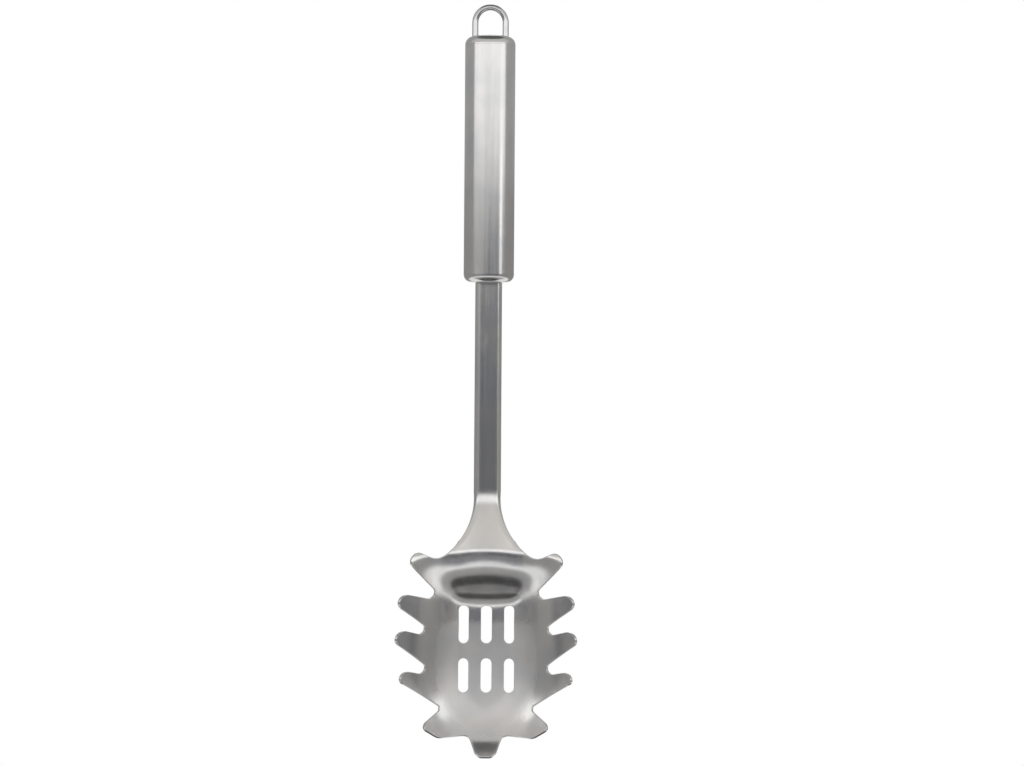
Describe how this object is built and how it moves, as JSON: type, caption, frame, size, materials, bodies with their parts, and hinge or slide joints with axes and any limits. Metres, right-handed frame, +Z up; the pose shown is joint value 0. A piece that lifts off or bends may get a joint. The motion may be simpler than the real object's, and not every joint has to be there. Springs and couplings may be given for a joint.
{
  "type": "pasta server",
  "caption": "Stainless steel pasta server: toothed, slotted bowl on a narrow channel shaft, with a round hollow handle and a wire hanging loop.",
  "frame": {"origin": "inside crown of the hanging loop, where the hook touches it, on the handle's axis", "axes": "+Z up along the handle's axis, -Y the way the hollow side of the bowl faces, +X to the right when the hollow side is looked at from the front"},
  "size_m": [0.0762, 0.0324, 0.3165],
  "materials": {
    "pressed_steel": "polished sheet with a fine brushed grain",
    "handle_steel": "satin, brushed along the handle",
    "wire_steel": "smooth drawn wire",
    "weld_steel": "as welded"
  },
  "bodies": {
    "root": {"blade": "pressed_steel", "handle_tube": "handle_steel", "lower_cap": "handle_steel", "upper_cap": "handle_steel", "hanging_loop": "wire_steel", "shaft_weld": "weld_steel", "loop_weld_left": "weld_steel", "loop_weld_right": "weld_steel"}
  },
  "joints": []
}
